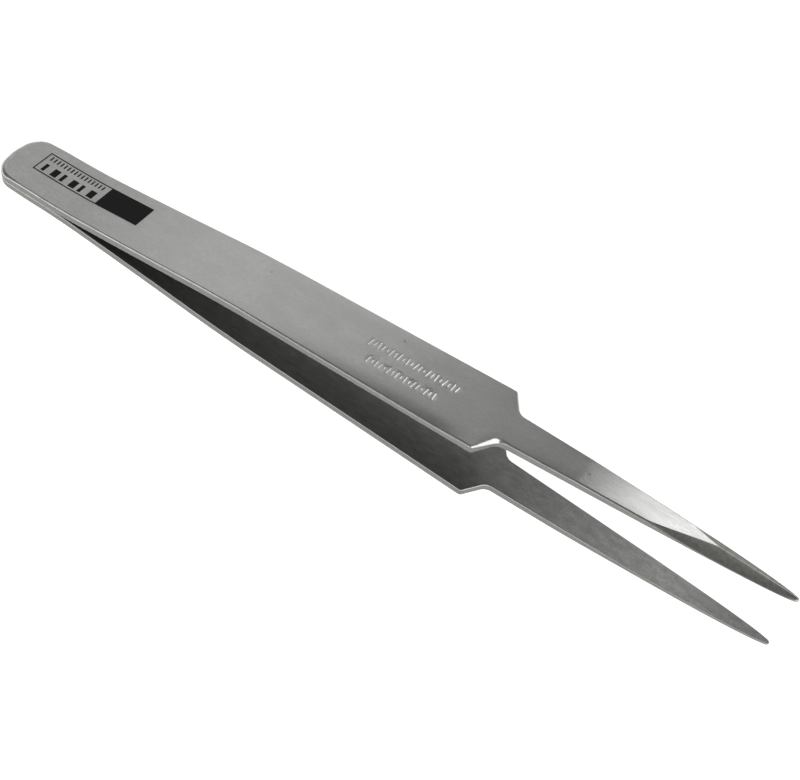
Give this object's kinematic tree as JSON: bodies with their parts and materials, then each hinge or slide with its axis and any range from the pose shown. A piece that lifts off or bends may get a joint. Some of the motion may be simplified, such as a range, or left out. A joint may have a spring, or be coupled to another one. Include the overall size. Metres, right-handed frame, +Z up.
{
  "type": "precision tweezers",
  "caption": "Fine-point steel tweezers: sprung flat arms welded at the heel, with shouldered blades that taper to needle points.",
  "frame": {"origin": "on the bench under the middle of the tweezers, which lie on the lower arm's flat stretch", "axes": "+X from the heel to the points, +Y to the left of that, +Z up from the bench; the arms part along Z"},
  "size_m": [0.1102, 0.01, 0.0113],
  "materials": {
    "arm_steel": "brushed lengthwise",
    "weld_steel": "matt, fused"
  },
  "bodies": {
    "heel_weld": {"spot_weld_front": "weld_steel", "spot_weld_rear": "weld_steel"},
    "upper": {"upper_arm": "arm_steel"},
    "lower": {"lower_arm": "arm_steel"}
  },
  "joints": [
    {"name": "upper_arm_flex", "type": "hinge", "parent": "heel_weld", "child": "upper", "pos_m": [-0.04504, 0, 0.00254], "axis": [0, 1, 0], "range_deg": [0, 2.63], "stiffness_Nm_per_rad": 2},
    {"name": "lower_arm_flex", "type": "hinge", "parent": "heel_weld", "child": "lower", "pos_m": [-0.04504, 0, 0.00254], "axis": [0, -1, 0], "range_deg": [0, 2.63], "stiffness_Nm_per_rad": 2}
  ],
  "couplings": [
    {"joint": "lower_arm_flex", "follows": "upper_arm_flex", "ratio": 1}
  ]
}
